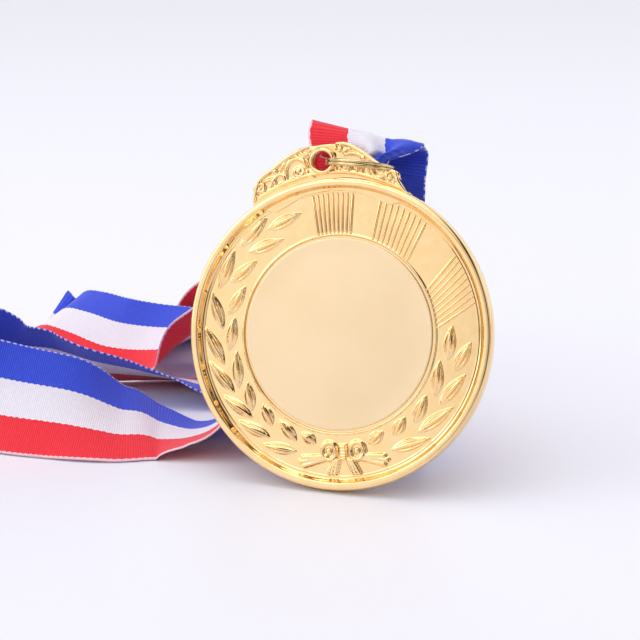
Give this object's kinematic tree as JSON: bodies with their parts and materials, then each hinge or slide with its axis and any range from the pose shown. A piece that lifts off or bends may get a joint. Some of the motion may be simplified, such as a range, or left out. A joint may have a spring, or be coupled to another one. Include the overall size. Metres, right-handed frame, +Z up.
{
  "type": "award medal",
  "caption": "Round gold-plated award medal with a laurel wreath, scrolled crest and split ring, leaning on its folded striped neck ribbon.",
  "frame": {"origin": "centre of the front centre plate's outer face", "axes": "+Z up, the medal's face looks along -Y and leans back 14 degrees, +X to the viewer's right"},
  "size_m": [0.1411, 0.1064, 0.0741],
  "materials": {
    "gold_plating": "mirror-polished gold plating on a die casting",
    "satin_plate": "satin gold, very fine matte",
    "adhesive": "thin double-sided film",
    "ring_wire": "drawn wire, slightly aged plating",
    "ribbon_weave": "ribbed woven ribbon in equal blue, white and red stripes",
    "thread": "twisted sewing thread"
  },
  "bodies": {
    "medal": {"medal_casting": "gold_plating", "front_plate": "satin_plate", "front_adhesive": "adhesive", "rear_plate": "satin_plate", "rear_adhesive": "adhesive", "ribbon_front_fall": "ribbon_weave", "ribbon_near_run": "ribbon_weave", "ribbon_outer_turn": "ribbon_weave", "ribbon_middle_run": "ribbon_weave", "ribbon_roll": "ribbon_weave", "ribbon_far_run": "ribbon_weave", "ribbon_far_turn": "ribbon_weave", "ribbon_rear_rise": "ribbon_weave", "seam_thread": "thread"},
    "ring": {"split_ring": "ring_wire", "ribbon_loop": "ribbon_weave"}
  },
  "joints": [
    {"name": "ring_swing", "type": "hinge", "parent": "medal", "child": "ring", "pos_m": [-0.00588, 0.00938, 0.0343], "axis": [0, -0.9703, 0.2419], "range_deg": [0, 60]}
  ]
}
